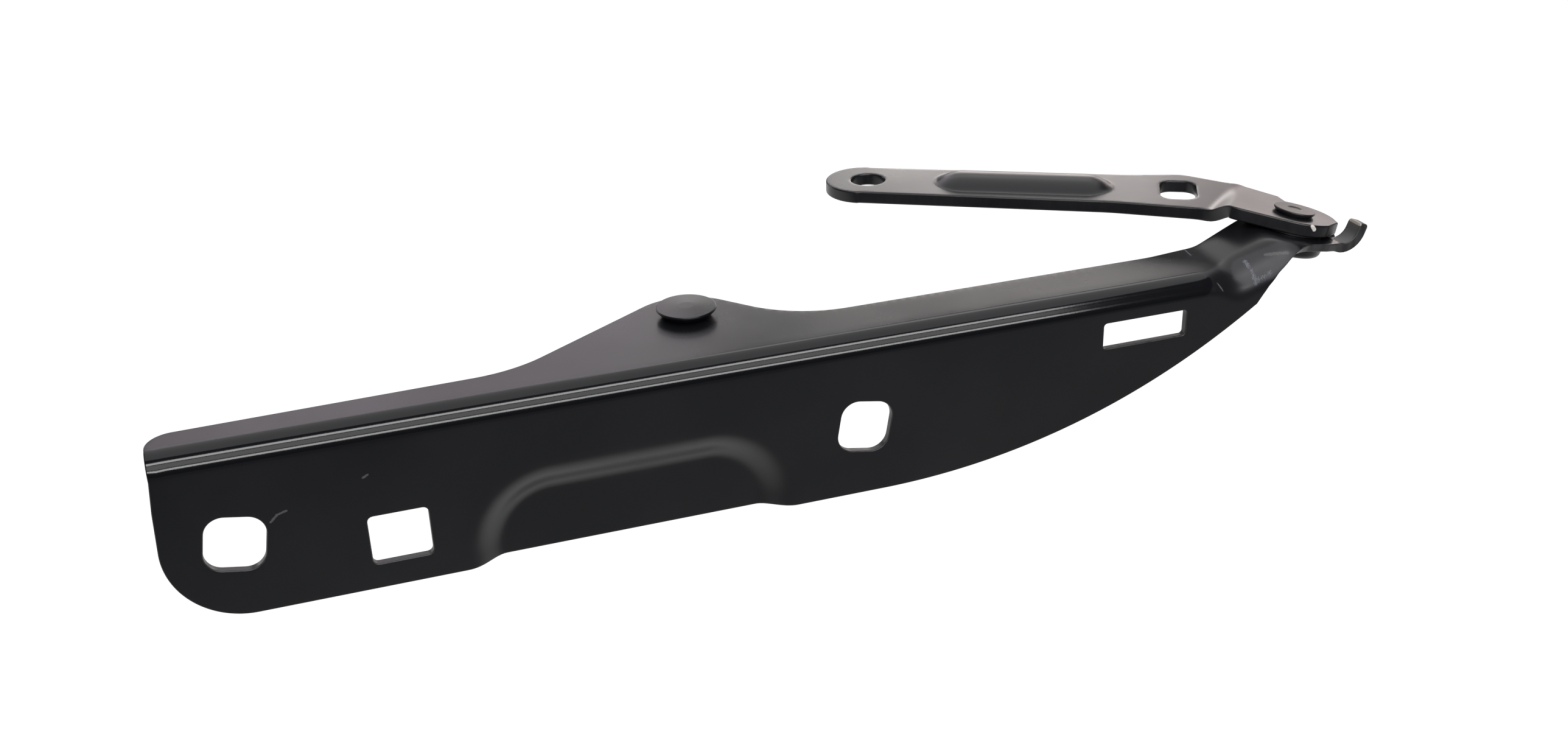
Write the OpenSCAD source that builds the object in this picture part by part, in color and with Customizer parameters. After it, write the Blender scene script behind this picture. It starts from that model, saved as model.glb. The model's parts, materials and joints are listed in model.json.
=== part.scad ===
// Bonnet hinge: a long pressed arm for the bonnet, riveted to a short bracket for the car body.
// Millimetres, +Z up. The origin is the centre of the bracket's round bolt hole, on the face
// that sits on the body. +X runs along the arm's long bend, towards the pivot.
// The arm lies as it does with the hinge folded; opening turns it about the tilted pivot.

/* [Part shown] */
// One piece by name, or all of them

/* [Bonnet arm] */
// Thickness of the arm's sheet
arm_t = 2.4; // [1.8:0.1:3]
// Outside radius of the long bend between web and flange
bend_r = 6; // [4.5:0.5:7]
// Height of the web, from the flange's top to the straight lower edge
web_h = 48; // [44:0.1:56]
// From the pivot to the far bolt hole, along the arm
arm_reach = 317.8; // [300:0.2:340]
// From the far bolt hole to the arm's end
end_margin = 17; // [14:0.5:24]
// How far the arm's end leans out from top to bottom
end_lean = 2.2; // [0.4:0.1:3]
// Radius of the web's lower corner at the end
end_corner_r = 21; // [8:1:24]
// From the pivot back to the corner of the rising lower edge
sweep_x = 77.8; // [70:0.2:86]
// Radius that rounds that corner
sweep_r = 214; // [120:2:220]
// From the web's outer face back to the pivot
setback = 20; // [18:0.5:24]
// Width of the flange at the arm's end
flange_w_end = 13.6; // [12:0.2:16]
// Width of the flange beside the ear, on the end side
flange_w = 16.2; // [15:0.2:18]
// Width of the flange between the ear and the pivot
flange_w_in = 21.4; // [18:0.2:23]
// Width of the flange at the foot of the ramp
flange_w_foot = 23.6; // [21:0.2:25]
// Radius of the flange's corner at the arm's end
flange_corner_r = 7; // [2:0.5:8]

/* [Arm holes, measured from the far bolt hole and down from the flange] */
// Width of the two rounded-square bolt holes
bolt_w = 15.3; // [12:0.1:17]
// Corner radius of the bolt holes
bolt_corner_r = 4.9; // [2:0.1:5.5]
// How far the bolt holes are turned
bolt_turn = -10; // [-20:1:20]
// Depth of the bolt holes' centres
bolt_z = 27.4; // [24:0.2:31]
// Between the two bolt holes
bolt_span = 170.3; // [166:0.1:180]
// Centre of the square locating hole
square_x = 40.6; // [34:0.2:44]
// Width of the square hole
square_w = 15.7; // [10:0.1:17]
// Height of the square hole
square_h = 14.2; // [10:0.1:16]
// Depth of the square hole's centre
square_z = 34; // [30:0.2:36]
// From the pivot back to the long slot's centre
slot_back = 60.1; // [56:0.2:66]
// Length of the long slot
slot_w = 26.9; // [16:0.1:30]
// Height of the long slot
slot_h = 8; // [5:0.1:8.6]
// Depth of the long slot's centre
slot_z = 12.8; // [11.6:0.1:14]

/* [Arm recess, pressed back and open at the lower edge] */
// Centre of the recess
recess_x = 103.4; // [100:0.2:108]
// Width of its flat floor
recess_w = 72.4; // [50:0.2:76]
// Depth of the floor's upper edge below the flange
recess_z = 30.5; // [26:0.2:33]
// Corner radius of the floor
recess_corner_r = 14; // [6:0.5:15]
// Width of the curved wall round the floor
recess_wall = 8; // [6:0.2:10]
// How far the floor is pressed back
recess_depth = 5; // [2:0.2:7]

/* [Ear and stud] */
// From the far bolt hole to the ear's centre
ear_x = 128.6; // [120:0.2:134]
// From the web's outer face to the ear's centre
ear_y = 29.9; // [28:0.1:33]
// Radius of the ear
ear_r = 17; // [15:0.2:19]
// Slope of the ear's flank on the end side
ear_slope_out = 33; // [28:1:40]
// Slope of the ear's flank on the pivot side
ear_slope_in = 50; // [42:1:56]
// Radius that runs the outer flank into the flange
ear_fillet_out = 38; // [20:1:40]
// Radius that runs the inner flank into the flange
ear_fillet_in = 33; // [18:1:36]
// How far the stud sits behind the ear's centre
stud_back = 3.8; // [0:0.1:5]
// Radius of the stud's flat head
stud_head_r = 8.6; // [7:0.1:10]
// Radius of the head where it sits on the ear
stud_base_r = 7.6; // [6:0.1:8.4]
// Height of the head above the flange
stud_rise = 2.2; // [1.4:0.1:3.5]
// Radius of the stud's shank in the ear
stud_shank_r = 3.5; // [2.5:0.1:4.5]

/* [Lug and stop finger] */
// Lean of the lug and the pivot towards +X
tilt = 12.4; // [8:0.2:14]
// Slope of the ramp from the flange up to the lug
ramp_slope = 18.8; // [17:0.2:21]
// From the pivot back to the foot of the ramp
ramp_x = 30.8; // [29:0.2:33]
// Drop from the lug's seat to the flange's top
lug_rise = 2.8; // [2:0.1:3.6]
// Where the long bend stops, before the top of the ramp
bend_stop = 2.5; // [1:0.1:4]
// Radius of the lug about the pivot
lug_r = 14; // [12.5:0.1:15]
// From the pivot to the start of the finger's bend
finger_x = 11.5; // [10.4:0.1:12.4]
// Inside radius of the finger's bend
finger_r = 5.5; // [4:0.1:6.5]
// How far the finger turns up
finger_turn = 80; // [70:1:88]
// Straight length of the finger past its bend
finger_tip = 1.5; // [1:0.1:4]
// Front edge of the finger, in front of the pivot
finger_front = 13; // [12.6:0.1:14]
// Width of the finger
finger_w = 8; // [6:0.1:9.4]

/* [Body bracket] */
// Thickness of the bracket's sheet
plate_t = 3.9; // [3:0.1:4.4]
// Direction of the bracket seen from above
plate_turn = -28.8; // [-32:0.2:-26]
// From the bolt hole to the pivot, along the bracket
pivot_u = 133.1; // [128:0.1:138]
// From the bracket's middle line to the pivot
pivot_w = -15.3; // [-17:0.1:-13]
// Radius of the bracket's round end
end_r = 12.4; // [11.6:0.1:14]
// How far the round end's centre lies past the bolt hole
end_out = 1.3; // [0:0.1:3]
// Radius of the bolt hole
hole_r = 5.5; // [4:0.1:6.5]
// Middle of the rounded slot, along the bracket
gap_u = 99.1; // [94:0.1:101]
// Width of the slot along the bracket
gap_w = 11.2; // [8:0.1:12]
// Length of the slot across the bracket
gap_l = 16.6; // [12:0.1:18]
// Start of the stiffening bead, from the bolt hole
bead_u = 22.2; // [20:0.1:28]
// Length of the bead
bead_l = 56.2; // [40:0.2:58]
// Width of the bead
bead_w = 17.4; // [14:0.2:18.4]
// Height of the bead's round back
bead_h = 3.2; // [1:0.1:3.6]
// From the bracket's middle line to the bead's
bead_off = 0.6; // [-1:0.1:1.6]

/* [Eye and pivot] */
// Drop from the bracket's top to the eye's top, at the pivot
eye_drop = 1.15; // [0.5:0.05:2]
// Radius of the eye
eye_r = 12.7; // [12:0.1:13.4]
// Bearing of the shoulder that the finger meets
stop_at = 69; // [62:1:74]
// From the pivot to the shoulder's outer corner
stop_r = 19.2; // [17:0.1:20]
// Space between eye and lug
eye_gap = 0.8; // [0.6:0.05:1.6]
// Radius of the rivet's shank
shank_r = 4; // [3:0.1:4.4]
// Running clearance on the radius, shank in bush
run_clear = 0.05; // [0.02:0.01:0.1]
// Wall of the bush
bush_wall = 0.95; // [0.75:0.05:1.5]
// Radius of the bush's flange
bush_flange_r = 10; // [7.5:0.1:11]
// Play at each face between eye and arm
play = 0.1; // [0.05:0.05:0.3]
// Radius of the rivet's upper head
head_r = 6.3; // [5.6:0.1:8]
// Radius of the upper head where it meets the eye
head_base_r = 5.5; // [5.1:0.1:6]
// Height of the upper head
head_h = 1.5; // [1:0.1:2.5]
// Radius of the rivet's broad lower head
tail_r = 11; // [7:0.1:11.6]
// Height of the lower head
tail_h = 4.2; // [2:0.1:5]
// Radius that rounds the lower head's edge
tail_edge = 1.4; // [0.4:0.1:1.8]

/* [Hidden] */
$fn = 96;
over = 1;
// Neighbouring stretches of one sheet share this much length
lip = 0.4;
satin_black = [0.035, 0.036, 0.038];
rivet_black = [0.06, 0.06, 0.062];

// The pivot stands on the eye's top, and the lug's seat is one plate and one gap below it
pivot = [pivot_u * cos(plate_turn) - pivot_w * sin(plate_turn),
    pivot_u * sin(plate_turn) + pivot_w * cos(plate_turn),
    plate_t - eye_drop];
seat_drop = plate_t + eye_gap;
seat = pivot - seat_drop * [sin(tilt), 0, cos(tilt)];
bush_r = shank_r + run_clear + bush_wall;

// The arm is drawn about the lug's seat: x along the arm, y back from the pivot, z up
far_x = -arm_reach;
end_x = far_x - end_margin;
face_y = -setback;
bend_y = face_y + bend_r;
top_z = -lug_rise;
low_z = top_z - web_h;
web_top = bend_r + lip / 2;
cross = bend_r * tan(ramp_slope / 2) + lip;

// The top surface runs flat to the foot, up the ramp to the crest and down the lug
foot = [-ramp_x, top_z];
crest_x = (lug_rise - ramp_x * tan(ramp_slope)) / (tan(ramp_slope) + tan(tilt));
crest = [crest_x, -crest_x * tan(tilt)];
ramp_dir = [cos(ramp_slope), sin(ramp_slope)];
ramp_down = [sin(ramp_slope), -cos(ramp_slope)];
bend_end = crest - bend_stop * ramp_dir;
lug_start = crest_x / cos(tilt) + 0.1;
lug_join = lug_r * [-cos(27), sin(27)];

// The sheared nose, where the web's edge climbs to the front corner of the lug
nose = [[-24.6, -16.4], [-22.3, -11.5], [-19.3, -8.5], [-17.1, -5.9], [-14.2, -4.2]];
nose_x = -8.4;

// The lower edge turns up from its straight stretch to the nose
sweep_from = [-sweep_x, low_z];
sweep_run = nose[0] - sweep_from;
sweep_fit = min(sweep_r, 0.98 * norm(sweep_run) / tan(atan2(sweep_run.y, sweep_run.x) / 2));

function unit(v) = v / norm(v);
function turned(a) = a > 180 ? a - 360 : a < -180 ? a + 360 : a;

// Points of one corner b between a and c, rounded with radius r
function corner(a, b, c, r) = r == 0 ? [b] :
    let (u = unit(a - b), v = unit(c - b), half = acos(u * v) / 2)
    let (o = b + unit(u + v) * r / sin(half))
    let (s = b + u * r / tan(half) - o, e = b + v * r / tan(half) - o)
    let (a0 = atan2(s.y, s.x), sweep = turned(atan2(e.y, e.x) - a0))
    let (n = max(2, ceil(abs(sweep) / 5)))
    [for (i = [0:n]) o + r * [cos(a0 + sweep * i / n), sin(a0 + sweep * i / n)]];

// A closed outline from corners [x, y, radius]
function rounded(p) = [for (i = [0:len(p) - 1])
    let (a = p[(i + len(p) - 1) % len(p)], b = p[i], c = p[(i + 1) % len(p)])
    each corner([a.x, a.y], [b.x, b.y], [c.x, c.y], b[2])];

// The arm's upright frame at the lug's seat
module at_seat() {
    translate(seat) children();
}

// The tilted frame of the pivot, on top of the eye
module at_eye() {
    translate(pivot) rotate([0, tilt, 0]) children();
}

// Front view: x to the right, y up, z towards the web's outer side
module front_view() {
    translate([0, face_y, 0]) rotate([90, 0, 0]) children();
}

// Extrudes a section, drawn as y and z, along x
module along_x(l) {
    rotate([90, 0, 90]) linear_extrude(l) children();
}

// A rectangle with round corners, centred
module rounded_box(w, h, r) {
    polygon(rounded([[-w / 2, -h / 2, r], [w / 2, -h / 2, r], [w / 2, h / 2, r], [-w / 2, h / 2, r]]));
}

// Section of a pressed wall: from 0 at its outer edge to h at the floor's edge, with flat lips
module wall_section(r_floor, wall, h, t) {
    n = 12;
    rise = concat(
        [[r_floor + wall + lip, 0]],
        [for (i = [0:n]) [r_floor + wall * (1 - i / n), h * (1 - cos(180 * i / n)) / 2]],
        [[r_floor - lip, h]]);
    polygon(concat(rise, [for (i = [len(rise) - 1:-1:0]) rise[i] - [0, t]]));
}

// Web: outline in the front view
module web_outline() {
    intersection() {
        polygon(rounded([
            [end_x, 20, 0],
            [end_x, top_z - web_top - lip, 0],
            [end_x - end_lean, low_z, end_corner_r],
            [sweep_from.x, sweep_from.y, sweep_fit],
            each [for (p = nose) [p.x, p.y, 0]],
            [0, 20, 0]]));
        polygon(concat(
            [[end_x - 20, low_z - 20], [end_x - 20, top_z - web_top]],
            [foot + web_top * [tan(ramp_slope / 2), -1]],
            [bend_end + web_top * ramp_down - 0.1 * ramp_dir],
            [bend_end + web_h * ramp_down - 0.1 * ramp_dir]));
    }
}

module bolt_hole_outline() {
    rotate(bolt_turn) rounded_box(bolt_w, bolt_w, bolt_corner_r);
}

module web_holes() {
    for (x = [0, bolt_span]) {
        translate([far_x + x, top_z - bolt_z]) bolt_hole_outline();
    }
    translate([far_x + square_x, top_z - square_z]) rounded_box(square_w, square_h, 1.5);
    translate([-slot_back, top_z - slot_z]) rounded_box(slot_w, slot_h, 1);
}

// Recess: its outer edge in the front view, about the middle of the floor's upper edge
module recess_outline(grow) {
    w = recess_w / 2 + grow;
    r = recess_corner_r + grow;
    deep = web_h - recess_z + over;
    polygon(rounded([[-w, -deep, 0], [w, -deep, 0], [w, grow, r], [-w, grow, r]]));
}

module recess_walls() {
    side = recess_w / 2 - recess_corner_r;
    drop = web_h - recess_z;
    for (s = [0, 1]) mirror([s, 0, 0]) {
        // corner
        translate([side, -recess_corner_r, 0]) rotate_extrude(angle = 90)
            wall_section(recess_corner_r, recess_wall, -recess_depth, arm_t);
        // side, down to the lower edge
        translate([side, -recess_corner_r, 0]) rotate([90, 0, 0])
            linear_extrude(drop - recess_corner_r)
                wall_section(recess_corner_r, recess_wall, -recess_depth, arm_t);
    }
    // top
    translate([-side, -recess_corner_r, 0]) rotate([90, 0, 90]) linear_extrude(2 * side)
        wall_section(recess_corner_r, recess_wall, -recess_depth, arm_t);
}

module web() {
    translate([0, 0, -arm_t]) linear_extrude(arm_t) difference() {
        web_outline();
        web_holes();
        translate([far_x + recess_x, top_z - recess_z]) recess_outline(recess_wall + lip / 2);
    }
    translate([far_x + recess_x, top_z - recess_z, 0]) {
        recess_walls();
        translate([0, 0, -recess_depth - arm_t]) linear_extrude(arm_t) intersection() {
            recess_outline(-lip / 2);
            translate([-recess_w, recess_z - web_h]) square([2 * recess_w, web_h]);
        }
    }
}

// Flange with its ear, seen from above
ear = [far_x + ear_x, face_y + ear_y];
out_y = face_y + flange_w;
in_y = face_y + flange_w_in;
foot_y = face_y + flange_w_foot;
flare_x = foot.x - 17;
stud = ear + [0, stud_back];
out_touch = ear + (ear_r - 0.2) * [-sin(ear_slope_out), cos(ear_slope_out)];
in_touch = ear + (ear_r - 0.2) * [sin(ear_slope_in), cos(ear_slope_in)];
out_foot = out_touch.x - (out_touch.y - out_y) / tan(ear_slope_out);
in_foot = in_touch.x + (in_touch.y - in_y) / tan(ear_slope_in);

module flange_outline() {
    difference() {
        union() {
            polygon(rounded([
                [end_x, bend_y, 0],
                [end_x, face_y + flange_w_end, flange_corner_r],
                [out_foot, out_y, ear_fillet_out],
                [out_touch.x, out_touch.y, 0],
                [in_touch.x, in_touch.y, 0],
                [in_foot, in_y, ear_fillet_in],
                [flare_x, in_y, 40],
                [foot.x, foot_y, 0],
                [foot.x + cross, foot_y, 0],
                [foot.x + cross, bend_y, 0]]));
            translate(ear) circle(ear_r);
        }
        translate(stud) circle(stud_shank_r);
    }
}

// Section through bend and flange, about the bend's upper edge: y back, z up
module lip_section(w) {
    translate([0, -arm_t]) square([w, arm_t]);
    translate([-bend_r, -bend_r - lip]) square([arm_t, lip]);
    intersection() {
        translate([0, -bend_r]) difference() {
            circle(bend_r);
            circle(bend_r - arm_t);
        }
        translate([-bend_r, -bend_r]) square(bend_r);
    }
}

module long_bend() {
    translate([end_x, bend_y, top_z]) along_x(foot.x - end_x + cross) lip_section(lip);
}

// Ramp: the same section on the slope, crossing the flange at the foot; its bend stops early
module ramp() {
    w = setback + lug_r;
    run = norm(crest - foot);
    intersection() {
        translate([foot.x, bend_y, foot.y]) rotate([0, -ramp_slope, 0]) translate([-cross, 0, 0]) {
            along_x(cross + run - bend_stop) lip_section(lip);
            along_x(cross + run + 0.15) translate([0, -arm_t]) square([w, arm_t]);
        }
        translate([0, 0, low_z]) linear_extrude(web_h + 40) polygon([
            [foot.x - 2 * bend_r, face_y - over],
            [20, face_y - over],
            [20, lug_join.y],
            lug_join,
            [foot.x, foot_y],
            [foot.x - 2 * bend_r, in_y]]);
    }
}

// Past its end the bend opens out flat into the front corner of the lug
module fold_out() {
    in = 0.08;
    hull() {
        translate([bend_end.x, bend_y, bend_end.y]) rotate([0, -ramp_slope, 0])
            translate([-0.5 - in, 0, 0]) along_x(0.5) translate([0, -bend_r]) polygon(concat(
                [for (a = [90:10:180]) (bend_r - in) * [cos(a), sin(a)]],
                [[-bend_r + arm_t - in, 0], [0, bend_r - arm_t + in]]));
        rotate([0, tilt, 0]) translate([0, 0, in - arm_t]) linear_extrude(arm_t - 2 * in) polygon([
            [lug_start + lip, bend_y + 0.3],
            [lug_start + lip, bend_y - 0.8],
            [nose_x - 0.1, face_y + 0.15],
            [nose_x, bend_y + 0.3]]);
    }
}

// Lug plate in the tilted frame of its seat, with a relief beside the finger
module lug() {
    translate([0, 0, -arm_t]) linear_extrude(arm_t) difference() {
        union() {
            intersection() {
                circle(lug_r);
                translate([lug_start, -2 * lug_r]) square(4 * lug_r);
            }
            polygon([
                [lug_start, 0],
                [lug_start, bend_y - 1],
                [nose_x, face_y],
                [2.1, face_y + 5],
                [finger_x, -finger_front],
                [finger_x, finger_w - finger_front],
                [0, 0]]);
        }
        translate([finger_x, -2 * lug_r]) square([lug_r, 2 * lug_r - finger_front + finger_w + 0.6]);
        circle(shank_r);
    }
}

// Stop finger: bent up from the lug's far side
module finger() {
    n = 16;
    c = [finger_x, finger_r];
    end = [cos(finger_turn), sin(finger_turn)];
    turn = [for (i = [0:n]) let (a = finger_turn * i / n) [sin(a), -cos(a)]];
    translate([0, -finger_front, 0]) rotate([90, 0, 0]) translate([0, 0, -finger_w])
        linear_extrude(finger_w) polygon(concat(
            [[finger_x - lip, 0]],
            [for (d = turn) c + finger_r * d],
            [c + finger_r * turn[n] + finger_tip * end],
            [c + (finger_r + arm_t) * turn[n] + finger_tip * end],
            [for (i = [n:-1:0]) c + (finger_r + arm_t) * turn[i]],
            [[finger_x - lip, -arm_t]]));
}

module bonnet_arm() {
    color(satin_black) at_seat() {
        front_view() web();
        long_bend();
        translate([0, 0, top_z - arm_t]) linear_extrude(arm_t) flange_outline();
        ramp();
        fold_out();
        rotate([0, tilt, 0]) {
            lug();
            finger();
        }
    }
}

// Stud: flat head, narrower at its seat, its shank riveted under the ear
module ear_stud() {
    tail = 1.4;
    ease = 0.3;
    color(satin_black) at_seat() translate([stud.x, stud.y, top_z]) rotate_extrude() polygon([
        [0, -arm_t - tail],
        [stud_shank_r + 1.4, -arm_t - tail],
        [stud_shank_r + 2.2, -arm_t],
        [stud_shank_r, -arm_t],
        [stud_shank_r, 0],
        [stud_base_r, 0],
        [stud_head_r, stud_rise - 2 * ease],
        [stud_head_r, stud_rise - ease],
        [stud_head_r - ease, stud_rise],
        [stud_head_r / 4, stud_rise + ease],
        [0, stud_rise + ease]]);
}

// Bracket: plate outline about the bolt hole, u along it and w across
crease = [[107.5, -17.3], [116.5, 6.9]];

module plate_outline() {
    side = end_r - 0.3;
    translate([-end_out, 0]) circle(end_r);
    polygon(rounded([
        [-end_out, side, 0],
        [84, side + 0.5, 60],
        [100.5, side + 2.4, 10],
        [crease[1].x, crease[1].y, 0],
        [crease[0].x, crease[0].y, 0],
        [78, -side - 1.4, 60],
        [-end_out, -side, 0]]));
}

// Bead: a stadium with a round back, about its first end's centre
module bead_outline(r) {
    l = bead_l - bead_w;
    circle(r);
    translate([l, 0]) circle(r);
    translate([0, -r]) square([l, 2 * r]);
}

// Half of the bead's section: a flat lip, a round flank and a narrow flat at the middle line
function bead_half() =
    let (n = 10, a = bead_w / 2, r = (a * a + bead_h * bead_h) / (2 * bead_h), edge = asin(a / r))
    let (flank = [for (i = [0:n - 1]) let (f = edge * (1 - i / n)) [r * sin(f), bead_h - r * (1 - cos(f))]])
    concat([[a + lip, 0]], flank, [[0, flank[n - 1].y]]);

// The sheet that thick below the line p
module sheet_section(p) {
    polygon(concat(p, [for (i = [len(p) - 1:-1:0]) p[i] - [0, plate_t]]));
}

module bead() {
    l = bead_l - bead_w;
    half = bead_half();
    whole = concat(half, [for (i = [len(half) - 2:-1:0]) [-half[i].x, half[i].y]]);
    translate([0, 0, plate_t]) {
        rotate([90, 0, 90]) linear_extrude(l) sheet_section(whole);
        rotate([0, 0, 90]) rotate_extrude(angle = 180) sheet_section(half);
        translate([l, 0, 0]) rotate([0, 0, -90]) rotate_extrude(angle = 180) sheet_section(half);
    }
}

module plate() {
    bead_at = [bead_u + bead_w / 2, bead_off];
    linear_extrude(plate_t) difference() {
        plate_outline();
        circle(hole_r);
        translate([gap_u, -0.7]) rounded_box(gap_w, gap_l, 4);
        translate(bead_at) bead_outline(bead_w / 2);
    }
    translate(bead_at) bead();
}

// Eye plate in the tilted frame: joggle line at its root, stop shoulder at its back
crest_line = [[-21.5, 1.7], [0.6, 25.4]];
eye_mid = [0.8, 0.85];
root = crest_line[0] - eye_mid;
touch_bearing = atan2(root.y, root.x) + acos(eye_r / norm(root));

module eye_outline() {
    translate(eye_mid) circle(eye_r);
    polygon([
        eye_mid + (eye_r - 0.3) * [cos(touch_bearing), sin(touch_bearing)],
        crest_line[0],
        crest_line[1],
        stop_r * [cos(stop_at), sin(stop_at)],
        eye_mid + eye_r / 2 * [cos(stop_at), sin(stop_at)],
        eye_mid]);
}

// A thin upright rib just inside the sheet's edge line p, reaching back by d
module rib(p, d) {
    inset = 0.02;
    along = unit(p[1] - p[0]);
    n = [-along.y, along.x];
    a = p[0] + along * inset + n * sign(d) * inset;
    b = p[1] - along * inset + n * sign(d) * inset;
    translate([0, 0, inset]) linear_extrude(plate_t - 2 * inset) polygon([a, b, b + n * d, a + n * d]);
}

module body_bracket() {
    color(satin_black) difference() {
        union() {
            rotate([0, 0, plate_turn]) plate();
            at_eye() translate([0, 0, -plate_t]) linear_extrude(plate_t) eye_outline();
            // joggle between the plate and the eye
            hull() {
                rotate([0, 0, plate_turn]) rib(crease, 0.5);
                at_eye() translate([0, 0, -plate_t]) rib(crest_line, -0.5);
            }
        }
        at_eye() translate([0, 0, -plate_t - over]) cylinder(r = bush_r, h = plate_t + 2 * over);
    }
}

// Rivet: flat upper head with a shallow dimple, shank, broad lower head
module pivot_rivet() {
    low = -seat_drop - arm_t;
    ease = 0.25;
    bed = low - tail_h + tail_edge;
    color(rivet_black) at_eye() rotate_extrude() polygon(concat(
        [[0, low - tail_h]],
        [for (a = [-90:15:0]) [tail_r - tail_edge, bed] + tail_edge * [cos(a), sin(a)]],
        [[tail_r, low - ease], [tail_r - ease, low]],
        [[shank_r, low], [shank_r, play], [head_base_r, play]],
        [[head_r, head_h - 2 * ease], [head_r, head_h - ease], [head_r - ease, head_h]],
        [[head_r * 0.36, head_h], [head_r * 0.27, head_h - 0.3], [0, head_h - 0.3]]));
}

// Bush: sleeve in the eye, flange between eye and lug
module pivot_bush() {
    low = -seat_drop + play;
    color(rivet_black) at_eye() rotate_extrude() polygon([
        [shank_r + run_clear, low],
        [bush_flange_r, low],
        [bush_flange_r, -plate_t],
        [bush_r, -plate_t],
        [bush_r, 0],
        [shank_r + run_clear, 0]]);
}

bonnet_arm();
ear_stud();
body_bracket();
pivot_rivet();
pivot_bush();
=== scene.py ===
# %% [markdown]
# # A bonnet hinge in black dip paint
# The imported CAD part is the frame: it gives the outer box, the pivot and the two moving bodies.
# This lesson dresses it. Both pressings are built again as formed sheets, with soft folds and
# rounded sheet edges, because a pressing is known by its folds. The riveted pieces are turned on
# a lathe, and everything gets the same black dip paint with its small marks of handling.
# Sizes of pieces are written in millimetres, Blender gets metres, and z is up.

# %% Load the frame
import json
import math

import bmesh
import bpy
import numpy as np
from mathutils import Matrix, Vector
from mathutils.geometry import delaunay_2d_cdt
from mathutils.kdtree import KDTree


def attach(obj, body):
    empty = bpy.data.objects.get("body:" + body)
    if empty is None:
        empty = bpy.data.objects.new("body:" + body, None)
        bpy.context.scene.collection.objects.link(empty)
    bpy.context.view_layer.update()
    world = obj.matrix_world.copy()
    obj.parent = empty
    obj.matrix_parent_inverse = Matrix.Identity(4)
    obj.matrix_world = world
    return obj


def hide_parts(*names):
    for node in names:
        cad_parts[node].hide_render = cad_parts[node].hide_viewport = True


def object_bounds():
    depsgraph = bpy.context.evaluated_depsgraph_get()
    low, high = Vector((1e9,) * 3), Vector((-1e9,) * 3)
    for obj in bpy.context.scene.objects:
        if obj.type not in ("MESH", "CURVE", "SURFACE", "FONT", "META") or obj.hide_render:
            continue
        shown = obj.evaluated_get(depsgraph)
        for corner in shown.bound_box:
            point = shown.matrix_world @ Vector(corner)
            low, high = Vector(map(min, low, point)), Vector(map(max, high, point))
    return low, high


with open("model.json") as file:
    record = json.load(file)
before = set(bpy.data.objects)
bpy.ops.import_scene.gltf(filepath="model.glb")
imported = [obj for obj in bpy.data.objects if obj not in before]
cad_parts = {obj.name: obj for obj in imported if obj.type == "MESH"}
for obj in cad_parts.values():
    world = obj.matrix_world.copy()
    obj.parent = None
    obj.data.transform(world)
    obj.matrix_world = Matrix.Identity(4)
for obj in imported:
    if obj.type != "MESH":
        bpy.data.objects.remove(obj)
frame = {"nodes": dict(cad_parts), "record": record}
cad_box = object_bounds()
MM = 0.001
hinge = frame["record"]["behaviour"]["joints"][0]
pivot = np.array(hinge["pos_m"]) / MM
axis = np.array(hinge["axis"])
tilt = math.atan2(axis[0], axis[2])
PLATE_T = 3.9
ARM_T = 2.4
BUSH_T = 0.8
seat = pivot - (PLATE_T + BUSH_T) * axis
print("nodes:", sorted(frame["nodes"]))
print("pivot at", pivot.round(2), "tilt", round(math.degrees(tilt), 1))

# %% [markdown]
# ## Camera
# The camera stands where the photograph was taken from: a little above the part and left of its
# middle, looking down by 26 degrees. It comes first, because every later choice is seen through it.

# %% Camera
CAMERA_AT = (-0.189804, -0.486949, 0.18766)
SENSOR_W, LENS, CLIP_START = 36, 38.606, 0.01
azimuth, elevation, roll = (math.radians(a) for a in (18.07, 25.89, -1.82))
look = Vector((math.sin(azimuth) * math.cos(elevation), math.cos(azimuth) * math.cos(elevation),
               -math.sin(elevation)))
level = Vector((math.cos(azimuth), -math.sin(azimuth), 0))
rise = level.cross(look)
right = math.cos(roll) * level + math.sin(roll) * rise
up = math.cos(roll) * rise - math.sin(roll) * level
camera = bpy.data.objects.new("camera", bpy.data.cameras.new("camera"))
bpy.context.scene.collection.objects.link(camera)
camera.matrix_world = (Matrix.Translation(CAMERA_AT)
                       @ Matrix((right, up, -look)).transposed().to_4x4())
camera.data.sensor_width = SENSOR_W
camera.data.lens = LENS
camera.data.clip_start = CLIP_START
bpy.context.scene.camera = camera
print("camera at", [round(c, 3) for c in CAMERA_AT])

# %% [markdown]
# ## Outlines
# A pressing starts as a flat blank: an outline with holes. These helpers draw blanks as lists of
# points. A corner with a radius becomes an arc of short chords, and long edges are cut into short
# steps, so that the edge can follow the folds later.

# %% Arcs and corners
CHORD, NEARLY_STRAIGHT = 0.7, 1.56


def arc(centre, r, first, last):
    n = max(4, math.ceil(abs(last - first) * r / CHORD))
    turns = np.linspace(first, last, n + 1)
    return [np.array(centre) + r * np.array((math.cos(t), math.sin(t))) for t in turns]


def circle(centre, r):
    return arc(centre, r, 0, 2 * math.pi)[:-1]


def corner(before, at, after, r):
    before, at, after = (np.array(q, float) for q in (before, at, after))
    u = (before - at) / np.linalg.norm(before - at)
    v = (after - at) / np.linalg.norm(after - at)
    half = math.acos(np.clip(u @ v, -1, 1)) / 2
    if r == 0 or half > NEARLY_STRAIGHT:
        return [at]
    centre = at + (u + v) / np.linalg.norm(u + v) * r / math.sin(half)
    enter = at + u * r / math.tan(half) - centre
    leave = at + v * r / math.tan(half) - centre
    first = math.atan2(enter[1], enter[0])
    sweep = (math.atan2(leave[1], leave[0]) - first + math.pi) % (2 * math.pi) - math.pi
    return arc(centre, r, first, first + sweep)


print("a circle of 5 mm radius has", len(circle((0, 0), 5)), "points")

# %% Whole outlines
EDGE_STEP = 0.9


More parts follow.
